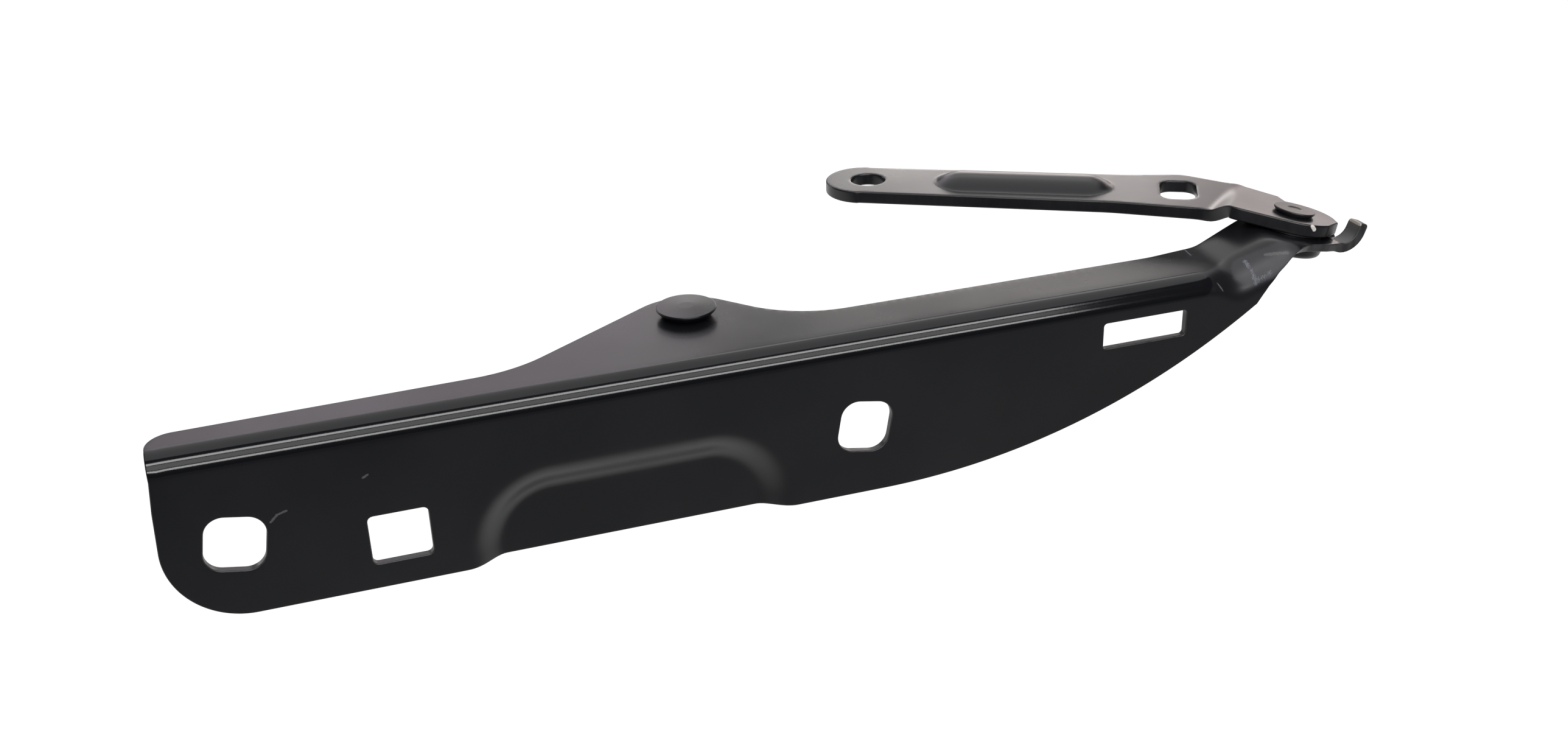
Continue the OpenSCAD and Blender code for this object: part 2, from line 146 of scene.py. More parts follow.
def rounded(corners):
    points = []
    for i, (x, y, r) in enumerate(corners):
        points += corner(corners[i - 1][:2], (x, y), corners[(i + 1) % len(corners)][:2], r)
    return points


def box(x, y, w, h, r, turn=0):
    c, s = math.cos(turn), math.sin(turn)
    corners = [(a * w / 2, b * h / 2, r) for a, b in ((-1, -1), (1, -1), (1, 1), (-1, 1))]
    return [np.array((x + c * a - s * b, y + s * a + c * b)) for a, b in rounded(corners)]


def stepped(points):
    loop = []
    for a, b in zip(points, points[1:] + points[:1]):
        n = math.ceil(np.linalg.norm(b - a) / EDGE_STEP - 1e-6)
        loop += [a + (b - a) * k / n for k in range(n)]
    return np.array(loop)


def smooth(t):
    t = np.clip(t, 0, 1)
    return t * t * (3 - 2 * t)


def rises(x, start, length):
    return smooth((x - start) / length)


print("a 10 mm square with 2 mm corners has", len(stepped(box(0, 0, 10, 10, 2))), "points")

# %% [markdown]
# ## Formed sheets
# A folded sheet could be modelled with extruded faces and a subdivision surface, but holes and
# curved edges then need many support loops. Here the flat blank is filled with small triangles
# that keep to its outline and holes, and every point is moved to its place on the formed sheet.
# A second layer lies one thickness behind the first. Between the two runs the cut edge, with the
# slightly round lips that paint and tumbling give.

# %% Fill a blank
RIM_CLEAR = 0.5
FILL_HULL, SAME_POINT = 0, 1e-7


def inside(points, loop):
    x, y = points.T
    odd = np.zeros(len(points), bool)
    for (ax, ay), (bx, by) in zip(loop, np.roll(loop, -1, 0)):
        if ay != by:
            odd ^= ((ay > y) != (by > y)) & (x < ax + (y - ay) * (bx - ax) / (by - ay))
    return odd


def within(points, outline, holes):
    keep = inside(points, outline)
    for hole in holes:
        keep &= ~inside(points, hole)
    return keep


def fill(outline, holes, seeds):
    rim = np.vstack([outline, *holes])
    tree = KDTree(len(rim))
    for i, q in enumerate(rim):
        tree.insert((*q, 0), i)
    tree.balance()
    seeds = seeds[within(seeds, outline, holes)]
    seeds = seeds[[tree.find((*q, 0))[2] > RIM_CLEAR for q in seeds]]
    edges, start = [], 0
    for loop in (outline, *holes):
        n = len(loop)
        edges += [(start + i, start + (i + 1) % n) for i in range(n)]
        start += n
    points = [Vector(q) for q in np.vstack([rim, seeds])]
    found, _, faces, origin, *_ = delaunay_2d_cdt(points, edges, [], FILL_HULL, SAME_POINT)
    flat = np.array([tuple(q) for q in found])
    faces = np.array([tuple(f) for f in faces])
    faces = faces[within(flat[faces].mean(1), outline, holes)]
    place_of = {i: k for k, origins in enumerate(origin) for i in origins}
    return flat, faces, [place_of[i] for i in range(len(rim))]


def grid(a0, a1, da, b0, b1, db):
    return np.stack(np.meshgrid(np.arange(a0, a1, da), np.arange(b0, b1, db)), -1).reshape(-1, 2)


print("seeds 3 mm apart on a 10 mm square:", len(grid(0, 10, 3, 0, 10, 3)))

# %% Round lips on the cut edges
LIP_STEPS = 3
PROBE = 0.03


def drawn_in(loop, by):
    area = np.sum(loop[:, 0] * np.roll(loop[:, 1], -1) - np.roll(loop[:, 0], -1) * loop[:, 1])
    run = np.roll(loop, -1, 0) - np.roll(loop, 1, 0)
    run /= np.linalg.norm(run, axis=1)[:, None]
    return loop + by * math.copysign(1, area) * np.stack([-run[:, 1], run[:, 0]], 1)


def facing(q, place, side):
    n = np.cross(place(q + (PROBE, 0)) - place(q - (PROBE, 0)),
                 place(q + (0, PROBE)) - place(q - (0, PROBE)))
    return side * n / np.linalg.norm(n, axis=1)[:, None]


def lip_rings(loop, edge, place, side, thickness, lip):
    rings = []
    for k in range(1, 2 * LIP_STEPS + 1):
        turn = math.pi / 2 * min(k / LIP_STEPS, 1, (2 * LIP_STEPS + 1 - k) / LIP_STEPS)
        q = edge + (loop - edge) * math.sin(turn)
        down = lip * (1 - math.cos(turn))
        if k > LIP_STEPS:
            down = thickness(q)[:, None] - down
        rings.append(place(q) - facing(q, place, side) * down)
    return rings


print("each cut edge has", 2 * LIP_STEPS, "rings between its two faces")

# %% Make a sheet
SHADE_WEIGHT = 60


def smooth_piece(name, mesh):
    mesh.polygons.foreach_set("use_smooth", [True] * len(mesh.polygons))
    obj = bpy.data.objects.new(name, mesh)
    bpy.context.scene.collection.objects.link(obj)
    even = obj.modifiers.new("even shading", "WEIGHTED_NORMAL")
    even.weight = SHADE_WEIGHT
    print(name, len(mesh.vertices), "points", len(mesh.polygons), "faces")
    return obj


def sheet_piece(name, points, faces, on_faces):
    mesh = bpy.data.meshes.new(name)
    mesh.from_pydata([tuple(q) for q in points * MM], [], [tuple(int(i) for i in f) for f in faces])
    cut = mesh.attributes.new("cut", "FLOAT", "POINT")
    cut.data.foreach_set("value", np.repeat((0.0, 1.0), (on_faces, len(points) - on_faces)))
    work = bmesh.new()
    work.from_mesh(mesh)
    bmesh.ops.recalc_face_normals(work, faces=work.faces)
    print(name, sum(not e.is_manifold for e in work.edges), "open edges")
    work.to_mesh(mesh)
    work.free()
    return smooth_piece(name, mesh)


def formed_sheet(name, outline, holes, seeds, place, side, thickness, lip):
    inner = [drawn_in(outline, lip)] + [drawn_in(hole, -lip) for hole in holes]
    flat, faces, on_rim = fill(inner[0], inner[1:], seeds)
    points = [place(flat), place(flat) - facing(flat, place, side) * thickness(flat)[:, None]]
    faces = [tuple(f) for f in faces] + [tuple(f[::-1] + len(flat)) for f in faces]
    count, start = 2 * len(flat), 0
    for loop, edge in zip((outline, *holes), inner):
        n = len(loop)
        first = on_rim[start:start + n]
        start += n
        rings = [first]
        for ring in lip_rings(loop, edge, place, side, thickness, lip):
            points.append(ring)
            rings.append(list(range(count, count + n)))
            count += n
        rings.append([i + len(flat) for i in first])
        for a, b in zip(rings, rings[1:]):
            faces += [(a[i], a[(i + 1) % n], b[(i + 1) % n], b[i]) for i in range(n)]
    return sheet_piece(name, np.vstack(points), faces, 2 * len(flat))


print("faces are shaded with a weight of", SHADE_WEIGHT)

# %% [markdown]
# ## The long arm
# The arm is one blank of 2.4 mm sheet. Its web hangs down at the front, a bend of 6 mm radius turns
# into the narrow flange on top, the flange climbs a ramp to the pivot's lug, and a stop finger is
# bent up at the lug's far side. At the ramp's foot the bend opens to a wider radius, flattens out
# towards the lug, and is cut off at a slant there. On the blank, p runs along the arm over ramp, lug
# and finger, and v runs across: negative on the flange, then round the bend, then down the web.
# Places on the arm are measured from the pivot, on the lug's upper face.

# %% The arm's top line, from the flange over the ramp and the lug to the finger
FACE_Y, BEND_R, TOP_Z, WEB_H = -20.0, 6.0, -2.8, 48.4
BEND_Y = FACE_Y + BEND_R
BEND_L = BEND_R * math.pi / 2
LOW_Z = TOP_Z - WEB_H
FAR_X = -317.8
END_X = FAR_X - 17
FOOT_X, FOOT_R = -30.8, 14
RAMP, CREST_R = math.radians(18.8), 9
FINGER_X, FINGER_R, FINGER_TURN = 10.2, 4.6, math.radians(82)
crest_x = (-TOP_Z + FOOT_X * math.tan(RAMP)) / (math.tan(RAMP) + math.tan(tilt))
crest_z = -crest_x * math.tan(tilt)
foot_cut = FOOT_R * math.tan(RAMP / 2)
crest_cut = CREST_R * math.tan((RAMP + tilt) / 2)
climb = math.hypot(crest_x - FOOT_X, crest_z - TOP_Z)
turns = [(FOOT_R * RAMP, 1 / FOOT_R), (climb - foot_cut - crest_cut, 0),
         (CREST_R * (RAMP + tilt), -1 / CREST_R),
         (FINGER_X - crest_x / math.cos(tilt) - crest_cut, 0),
         (FINGER_R * FINGER_TURN, 1 / FINGER_R), (0, 0)]


def walk(s, bend, x, z, aim):
    if bend == 0:
        return x + s * math.cos(aim), z + s * math.sin(aim)
    new_aim = aim + bend * s
    return (x + (np.sin(new_aim) - math.sin(aim)) / bend,
            z - (np.cos(new_aim) - math.cos(aim)) / bend)


stretches = []
start, x, z, aim = FOOT_X - foot_cut, FOOT_X - foot_cut, TOP_Z, 0.0
for length, bend in turns:
    stretches.append((start, bend, x, z, aim))
    x, z = walk(length, bend, x, z, aim)
    start, aim = start + length, aim + bend * length
finger_p = stretches[-2][0]
LUG_P = finger_p - FINGER_X


def top_line(p):
    x, z = np.array(p, float), np.full(np.shape(p), TOP_Z)
    for start, bend, x0, z0, aim in stretches:
        a, b = walk(p - start, bend, x0, z0, aim)
        x, z = np.where(p >= start, a, x), np.where(p >= start, b, z)
    return x, z


print("lug's middle at p =", round(LUG_P, 2))

# %% Across the arm: flange, bend and web, and the recess in the web
WIDER_BEND, OPENS_AT, CLOSES_AT, FLAT_AT = 5, (-40, 14), (-20, 12), (-8, 14)
RECESS_X, RECESS_HALF, RECESS_TOP, RECESS_R = FAR_X + 103.4, 35.4, 31.2, 14
RECESS_DEEP, RECESS_WALL, WALL_EASE = 5, 11.5, 1.2


def bend_r(x):
    return BEND_R + WIDER_BEND * rises(x, *OPENS_AT) * (1 - rises(x, *CLOSES_AT))


def fold(x):
    return 1 - rises(x, *FLAT_AT)


def recess(x, z):
    a = np.abs(x - RECESS_X) - (RECESS_HALF - RECESS_R)
    b = z - (TOP_Z - RECESS_TOP - RECESS_R)
    away = np.hypot(np.maximum(a, 0), np.maximum(b, 0)) + np.minimum(np.maximum(a, b), 0) - RECESS_R
    return RECESS_DEEP * smooth(np.clip(1 - away / RECESS_WALL, 0, 1) ** WALL_EASE)


def arm_place(pv):
    p, v = pv.T
    x, z = top_line(p)
    r = bend_r(x)
    turn = np.clip((v - BEND_R + r) / r, 0, math.pi / 2)
    y = np.where(v < BEND_R - r, BEND_Y - v, FACE_Y + r - r * np.sin(turn))
    below = np.maximum(v - BEND_R + r - r * math.pi / 2, 0)
    z = z - fold(x) * r * (1 - np.cos(turn)) - below
    return np.stack([x, np.where(below > 0, y + recess(x, z), y), z], 1) + seat


print("bend radius", BEND_R, "and", round(float(bend_r(sum(OPENS_AT))), 1), "mm at the ramp")

# %% From places on the arm to places on the blank
ALONG_STEP = 0.05
along = np.arange(END_X - 5, LUG_P + 11, ALONG_STEP)
along_x, along_z = top_line(along)


def across(y):
    if y >= BEND_Y:
        return BEND_Y - y
    return BEND_L * 2 / math.pi * math.asin(min(1, (BEND_Y - y) / BEND_R))


def on_web(q):
    p, r = np.interp(q[0], along_x, along), bend_r(q[0])
    v = BEND_R - r + r * math.pi / 2 + np.interp(p, along, along_z) - fold(q[0]) * r - q[1]
    return np.array((p, v))


def on_top(q):
    return np.array((np.interp(q[0], along_x, along), across(q[1])))


def on_lug(q):
    return np.array((LUG_P + q[0], across(q[1])))


print("the web's lower edge is at v =", round(float(on_web((FAR_X, LOW_Z))[1]), 1))

# %% The flange with its ear
EAR_R, EAR_OUT, EAR_IN = 17, math.radians(33), math.radians(50)
ear = np.array((FAR_X + 128.6, FACE_Y + 29.9))
stud = ear + (0.7, 3.7)
end_y, out_y, in_y, foot_y = (FACE_Y + width for width in (13.6, 16.2, 21.4, 23.6))
ear_rim = arc(ear, EAR_R, math.pi / 2 + EAR_OUT, math.pi / 2 - EAR_IN)
out_foot = ear_rim[0][0] - (ear_rim[0][1] - out_y) / math.tan(EAR_OUT)
in_foot = ear_rim[-1][0] + (ear_rim[-1][1] - in_y) / math.tan(EAR_IN)
flange = rounded([(END_X, BEND_Y, 0), (END_X, end_y, 7), (out_foot, out_y, 38)]
                 + [(*q, 0) for q in ear_rim]
                 + [(in_foot, in_y, 33), (FOOT_X - 17, in_y, 40), (FOOT_X, foot_y, 0),
                    (-20, 5.3, 0)])
print("flange", len(flange), "points, stud at", stud.round(1))

# %% The lug and the stop finger
LUG_R, LUG_FIRST, LUG_LAST, TIP_L = 14, math.radians(153), -0.4, 2.9
tip_p = finger_p + FINGER_R * FINGER_TURN + TIP_L
lug = [on_lug(q) for q in arc((0, 0), LUG_R, LUG_FIRST, LUG_LAST)]
finger = [(finger_p - 0.4, -5.6, 0.5), (finger_p - 0.4, -6.9, 0.5), (finger_p + 2, -6.9, 0),
          (tip_p, -7.0, 1.1), (tip_p, -12.9, 0.9), (finger_p - 1, -13.1, 8),
          (LUG_P + 4.6, -14.6, 8), (LUG_P - 3.7, -15.9, 0)]
front = rounded([(*lug[-1], 0)] + [(p, across(y), r) for p, y, r in finger])[1:]
print("lug", len(lug), "points, finger", len(front), "points")

# %% The web, from the nose that is cut off at a slant to the arm's end
SWEEP_R, END_R = 208, 21
cut_edge = [(-6.1, 3.1), (-7.7, 4.0), (-9.4, 5.0), (-10.7, 5.9), (-11.9, 6.7), (-13.2, 7.7),
            (-14.4, 8.4), (-16.0, 9.1), (-17.3, 10.1), (-19.0, 11.1), (-20.9, 13.0)]
nose = [np.array((np.interp(x, along_x, along), v)) for x, v in cut_edge]
nose_low, sweep_foot = (-22.7, -13.7), (-77.8, LOW_Z)
end_low, end_top = (END_X - 2.4, LOW_Z), (END_X - 0.8, TOP_Z - 15)
sweep = corner(nose_low, sweep_foot, (END_X, LOW_Z), SWEEP_R)
end = corner(sweep_foot, end_low, end_top, END_R) + [end_top]
web = nose + [on_web(q) for q in [nose_low] + sweep + end] + [np.array((END_X, BEND_L + 0.4))]
arm_rim = stepped([on_top(q) for q in flange] + lug + front + web)
print("arm's rim", len(arm_rim), "points")

# %% The arm's holes
STUD_R, RIVET_R = 3.5, 4
BOLT_HOLE = (27.4, 15.3, 15.3, 4.9, -10)


def web_hole(x, down, w, h, r, turn=0):
    return stepped([on_web(q) for q in box(x, TOP_Z - down, w, h, r, math.radians(turn))])


arm_holes = [web_hole(FAR_X, *BOLT_HOLE), web_hole(FAR_X + 170.3, *BOLT_HOLE),
             web_hole(FAR_X + 40.6, 34, 15.7, 14.2, 1.5), web_hole(-60.1, 12.8, 26.9, 8, 1),
             stepped([on_top(q) for q in circle(stud, STUD_R)]),
             stepped([on_lug(q) for q in circle((0, 0), RIVET_R)])]
print("holes:", [len(hole) for hole in arm_holes], "points")

# %% The arm's sheet
ARM_LIP, FINGER_EXTRA_T, THICKENS_AT = 0.35, 0.5, (7, 4)
KNUCKLE_X, COARSE, FINE = -38.0, 3, 0.9
RECESS_REACH, RECESS_STEP = 48, 1.1
bend_step, web_low = BEND_L / 12, BEND_L + 46
plain_web = grid(END_X - 4, KNUCKLE_X, COARSE, BEND_L + 1.5, web_low, COARSE)
in_recess = (np.abs(plain_web[:, 0] - RECESS_X) < RECESS_REACH) & (plain_web[:, 1] > BEND_L + 12)
seeds = np.vstack([
    grid(END_X, KNUCKLE_X, COARSE, -36, -0.6, COARSE),
    grid(END_X, KNUCKLE_X, 2.4, 0, BEND_L + 0.1, bend_step),
    plain_web[~in_recess],
    grid(RECESS_X - RECESS_REACH, RECESS_X + RECESS_REACH, RECESS_STEP,
         BEND_L + 13, web_low, RECESS_STEP),
    grid(KNUCKLE_X, tip_p, FINE, -32, BEND_L + 16, bend_step)])


def arm_deep(q):
    return ARM_T + FINGER_EXTRA_T * rises(q[:, 0] - LUG_P, *THICKENS_AT)


arm = formed_sheet("arm_sheet", arm_rim, arm_holes, seeds, arm_place, -1, arm_deep, ARM_LIP)
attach(arm, "arm")
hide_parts("bonnet_arm")

# %% [markdown]
# ## The short bracket
# The bracket is a thicker blank with a bead pressed up along its middle. Near the pivot it steps
# down over a joggle, a smooth S between two straight press lines, into the tilted eye. Seen from
# above every point has one height, so the blank is drawn in plan and lifted. u runs along the
# bracket from the bolt hole, w across it.

# %% The bracket's plan
TURN = math.radians(-28.8)
EYE_R, EYE_BACK_R, FACET_R, FACET = 12.7, 13.1, 13.5, math.radians(327)
BOLT_R, BUSH_R = 5.5, 5.0
ROUND_U, ROUND_R, ROUND_HALF = -1.3, 12.4, 12.1
along_u = np.array((math.cos(TURN), math.sin(TURN)))
along_w = np.array((-math.sin(TURN), math.cos(TURN)))


def on_plan(q):
    xy = pivot[:2] + (q[0] * math.cos(tilt), q[1])
    return np.array((xy @ along_u, xy @ along_w))


eye_mid = np.array((0.8, 0.85))
crest_line = [on_plan((-21.5, 1.7)), on_plan((0.6, 25.4))]
crease = [np.array((107.5, -17.3)), np.array((116.5, 6.9))]
facet_end = eye_mid + FACET_R * np.array((math.cos(FACET), math.sin(FACET)))
eye_rim = [on_plan(q) for q in arc(eye_mid, EYE_R, math.radians(233), math.radians(291))
           + [facet_end] + arc(eye_mid, EYE_BACK_R, math.radians(338), math.radians(426))]
shoulder = on_plan((6.88, 17.92))
bracket_rim = stepped(
    arc((ROUND_U, 0), ROUND_R, math.pi / 2, math.pi * 1.5)[:-1]
    + rounded([(ROUND_U, -ROUND_HALF, 0), (78, -13.5, 60), (*crease[0], 14), (*crest_line[0], 9)]
              + [(*q, 0) for q in eye_rim]
              + [(*shoulder, 0.9), (*crest_line[1], 4), (*crease[1], 14), (100.5, 14.5, 10),
                 (84, 12.6, 60), (ROUND_U, ROUND_HALF, 0)]))
bracket_holes = [stepped(circle((0, 0), BOLT_R)), stepped(box(99.1, -0.7, 11.2, 16.6, 4)),
                 stepped([on_plan(q) for q in circle((0, 0), BUSH_R)])]
print("bracket's rim", len(bracket_rim), "points,", len(bracket_holes), "holes")

# %% The bracket's sheet
BRACKET_LIP = 0.5
BEAD_FIRST, BEAD_LAST, BEAD_W, BEAD_HALF, BEAD_H = 30.9, 69.7, 0.6, 8.7, 3.2
BEAD_REACH, BEAD_EASE = 90, 0.02


def beyond(q, line):
    d = (line[1] - line[0]) / np.linalg.norm(line[1] - line[0])
    return (q - line[0]) @ np.array((d[1], -d[0]))


def bead(u, w):
    r = (BEAD_HALF ** 2 + BEAD_H ** 2) / (2 * BEAD_H)
    d = np.minimum(np.hypot(u - np.clip(u, BEAD_FIRST, BEAD_LAST), w - BEAD_W), r * 0.98)
    lift = np.sqrt(r ** 2 - d ** 2) - (r - BEAD_H)
    return (lift + np.sqrt(lift ** 2 + BEAD_EASE)) / 2 * (u < BEAD_REACH)


def bracket_place(uw):
    x, y = (uw[:, :1] * along_u + uw[:, 1:] * along_w).T
    past, short = np.maximum(beyond(uw, crease), 0), np.maximum(-beyond(uw, crest_line), 0)
    step = smooth(past / np.maximum(past + short, 1e-6))
    eye_z = pivot[2] - math.tan(tilt) * (x - pivot[0])
    return np.stack([x, y, PLATE_T * (1 - step) + eye_z * step + bead(*uw.T)], 1)


def bracket_deep(q):
    return np.full(len(q), PLATE_T)


bracket = formed_sheet("bracket_sheet", bracket_rim, bracket_holes,
                       grid(-14, 150, FINE, -40, 40, FINE),
                       bracket_place, 1, bracket_deep, BRACKET_LIP)
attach(bracket, "bracket")
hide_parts("body_bracket")

# %% [markdown]
# ## Rivet and stud
# Both are turned and then riveted over, so a lathe is the natural tool: half a section, turned
# round its axis. The upper heads are flat discs that narrow towards their seats.

# %% A lathe
TURN_STEPS = 96


def turned(name, section, place):
    ring, n = rounded(section), TURN_STEPS
    rims = [(r, h) for r, h in ring if r > 1e-6]
    points = [(r * math.cos(t), r * math.sin(t), h) for r, h in rims
              for t in np.linspace(0, 2 * math.pi, n, endpoint=False)]
    faces = [(i * n + k, i * n + (k + 1) % n, (i + 1) * n + (k + 1) % n, (i + 1) * n + k)
             for i in range(len(rims) - 1) for k in range(n)]
    low, high = len(points), len(points) + 1
    points += [(0, 0, ring[0][1]), (0, 0, ring[-1][1])]
    last = (len(rims) - 1) * n
    faces += [(low, (k + 1) % n, k) for k in range(n)]
    faces += [(high, last + k, last + (k + 1) % n) for k in range(n)]
    mesh = bpy.data.meshes.new(name)
    mesh.from_pydata([tuple(place @ Vector(q) * MM) for q in points], [], faces)
    return smooth_piece(name, mesh)


print("each turned piece has", TURN_STEPS, "steps round its axis")

# %% Turn the rivet and the stud
eye_frame = Matrix.Translation(Vector(pivot)) @ Matrix.Rotation(tilt, 4, "Y")
lug_low = -PLATE_T - BUSH_T - ARM_T
rivet_low = lug_low - 4.2
rivet = turned("rivet_turned", [
    (0, rivet_low, 0), (11, rivet_low, 1.6), (11, lug_low, 0.3), (RIVET_R, lug_low, 0),
    (RIVET_R, 0.1, 0), (5.5, 0.1, 0.1), (6.3, 1.1, 0.25), (6.15, 1.5, 0.2), (2.5, 1.5, 0.4),
    (1.7, 1.22, 0.4), (0, 1.22, 0)], eye_frame)
stud_frame = Matrix.Translation(Vector(seat + np.array((*stud, TOP_Z))))
stud_low = -ARM_T - 1.4
ear_stud = turned("stud_turned", [
    (0, stud_low, 0), (4.9, stud_low, 0.6), (5.7, -ARM_T, 0.1), (STUD_R, -ARM_T, 0), (STUD_R, 0, 0),
    (7.0, 0.5, 0.3), (8.6, 2.2, 0.2), (8.5, 2.8, 0.25), (2.2, 3.05, 2), (0, 3.05, 0)], stud_frame)
for obj, node, slot in ((rivet, "pivot_rivet", "rivet_paint"), (ear_stud, "ear_stud", "stud_paint")):
    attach(obj, "arm")
    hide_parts(node)

# %% [markdown]
# ## Black dip paint
# Dip paint is a thin black film with a faint orange peel, uneven gloss and a little dust. One node
# group makes that skin for every piece: slow noise shifts tone and gloss, fine noise is the peel,
# and rare specks are dust. A second group draws one mark between two points on the part, broken up
# by noise, so that each scuff sits where handling left it. The same group draws painted light too: a
# lighter grey stroke on the arm's nose is a painted highlight, and the bluish scuffs there are made
# light enough to paint the bulge's highlight as well. A third group makes the sheets' cut faces
# paler and rougher, since paint is thin on a torn edge. The sheets carry a value named cut that says
# where those faces are. Image textures could hold all this, but nodes need no unwrapping.

# %% Nodes and groups
def add(tree, kind, inputs=None, **settings):
    node = tree.nodes.new(kind)
    for key, value in settings.items():
        setattr(node, key, value)
    for key, value in (inputs or {}).items():
        if isinstance(value, bpy.types.NodeSocket):
            tree.links.new(value, node.inputs[key])
        else:
            node.inputs[key].default_value = value
    return node


def group(name, inputs, outputs):
    tree = bpy.data.node_groups.new(name, "ShaderNodeTree")
    for kind, sockets in (("INPUT", inputs), ("OUTPUT", outputs)):
        for label, socket in sockets:
            tree.interface.new_socket(label, in_out=kind, socket_type=socket)
    return tree, tree.nodes.new("NodeGroupInput").outputs, tree.nodes.new("NodeGroupOutput").inputs


print("node helpers:", add.__name__, "and", group.__name__)

# %% Nodes for sums, noise and mixing
COLOUR_A, COLOUR_B, COLOUR_OUT = 6, 7, 2
VALUE_A, VALUE_B, VALUE_OUT = 2, 3, 0


def math_node(tree, operation, a, b, clamp=False):
    node = add(tree, "ShaderNodeMath", {0: a, 1: b}, operation=operation, use_clamp=clamp)
    return node.outputs[0]


def vector_node(tree, operation, a, b, out="Vector"):
    return add(tree, "ShaderNodeVectorMath", {0: a, 1: b}, operation=operation).outputs[out]


def ramp(tree, value, low, high, to_low=0.0, to_high=1.0):
    return add(tree, "ShaderNodeMapRange", {"Value": value, "From Min": low, "From Max": high,
                                            "To Min": to_low, "To Max": to_high},
               interpolation_type="SMOOTHSTEP").outputs["Result"]


def noise(tree, where, scale, detail, roughness=0.5):
    return add(tree, "ShaderNodeTexNoise", {"Vector": where, "Scale": scale, "Detail": detail,
                                            "Roughness": roughness}).outputs["Fac"]


def mix_colour(tree, share, a, b):
    node = add(tree, "ShaderNodeMix", {"Factor": share, COLOUR_A: a, COLOUR_B: b}, data_type="RGBA")
    return node.outputs[COLOUR_OUT]


def mix_value(tree, share, a, b):
    node = add(tree, "ShaderNodeMix", {"Factor": share, VALUE_A: a, VALUE_B: b})
    return node.outputs[VALUE_OUT]


print("a mix node takes colours at", (COLOUR_A, COLOUR_B), "and values at", (VALUE_A, VALUE_B))

# %% Paint skin
FLOAT, COLOUR, VECTOR = "NodeSocketFloat", "NodeSocketColor", "NodeSocketVector"
DUST_TONE, DUST_MATT, PEEL_SHARE = 0.4, 0.15, 0.5
skin, given, made = group(
    "paint_skin", [("Deep", COLOUR), ("Pale", COLOUR), ("Gloss", FLOAT), ("Dull", FLOAT)],
    [("Colour", COLOUR), ("Roughness", FLOAT), ("Height", FLOAT)])
here = add(skin, "ShaderNodeTexCoord").outputs["Object"]
slow = noise(skin, here, 28, 4, 0.55)
peel = noise(skin, here, 1400, 2)
wave = noise(skin, here, 260, 2)
dust = ramp(skin, noise(skin, here, 900, 3, 0.7), 0.68, 0.76)
tone = math_node(skin, "ADD", ramp(skin, slow, 0.3, 0.7, 0, 0.6),
                 math_node(skin, "MULTIPLY", dust, DUST_TONE), clamp=True)
matt = math_node(skin, "ADD", ramp(skin, slow, 0.25, 0.75),
                 math_node(skin, "MULTIPLY", dust, DUST_MATT), clamp=True)
height = math_node(skin, "ADD", math_node(skin, "MULTIPLY", peel, PEEL_SHARE), wave)
skin.links.new(mix_colour(skin, tone, given["Deep"], given["Pale"]), made["Colour"])
skin.links.new(mix_value(skin, matt, given["Gloss"], given["Dull"]), made["Roughness"])
skin.links.new(height, made["Height"])
print(skin.name, len(skin.nodes), "nodes")

# %% A mark between two points
# Draws scuffs, and also the painted highlight strokes on the arm's nose.
scuff_and_highlight, given, made = group(
    "scuff_and_highlight", [("Start", VECTOR), ("End", VECTOR), ("Width", FLOAT), ("Broken", FLOAT)],
    [("Mask", FLOAT)])
here = add(scuff_and_highlight, "ShaderNodeTexCoord").outputs["Object"]
run = vector_node(scuff_and_highlight, "SUBTRACT", given["End"], given["Start"])
gone = vector_node(scuff_and_highlight, "SUBTRACT", here, given["Start"])
share = math_node(scuff_and_highlight, "DIVIDE", vector_node(scuff_and_highlight, "DOT_PRODUCT", gone, run, "Value"),
                  vector_node(scuff_and_highlight, "DOT_PRODUCT", run, run, "Value"), clamp=True)
nearest = add(scuff_and_highlight, "ShaderNodeVectorMath", {0: run, "Scale": share}, operation="SCALE").outputs[0]
away = vector_node(scuff_and_highlight, "DISTANCE", gone, nearest, "Value")
core = ramp(scuff_and_highlight, away, 0.0, given["Width"], 1.0, 0.0)
chips = noise(scuff_and_highlight, here, 2600, 4, 0.7)
bite = math_node(scuff_and_highlight, "SUBTRACT", core, math_node(scuff_and_highlight, "MULTIPLY", chips, given["Broken"]))
scuff_and_highlight.links.new(ramp(scuff_and_highlight, bite, 0.05, 0.3), made["Mask"])
print(scuff_and_highlight.name, len(scuff_and_highlight.nodes), "nodes")

# %% Torn cut faces
TORN, TORN_ROUGH = (0.036, 0.036, 0.038, 1), 0.5
shear, given, made = group("cut_face", [("Mask", FLOAT), ("Colour", COLOUR), ("Roughness", FLOAT)],
                           [("Colour", COLOUR), ("Roughness", FLOAT)])
here = add(shear, "ShaderNodeTexCoord").outputs["Object"]
drawn = add(shear, "ShaderNodeMapping", {"Vector": here, "Scale": (900, 900, 160)}).outputs[0]
tear = ramp(shear, noise(shear, drawn, 1.0, 3), 0.3, 0.75, 0.35, 1.0)
torn = math_node(shear, "MULTIPLY", given["Mask"], tear)
shear.links.new(mix_colour(shear, torn, given["Colour"], TORN), made["Colour"])
shear.links.new(mix_value(shear, torn, given["Roughness"], TORN_ROUGH), made["Roughness"])
print(shear.name, len(shear.nodes), "nodes")

# %% The paint itself
PEEL_STRENGTH, PEEL_DEPTH = 0.15, 0.00004


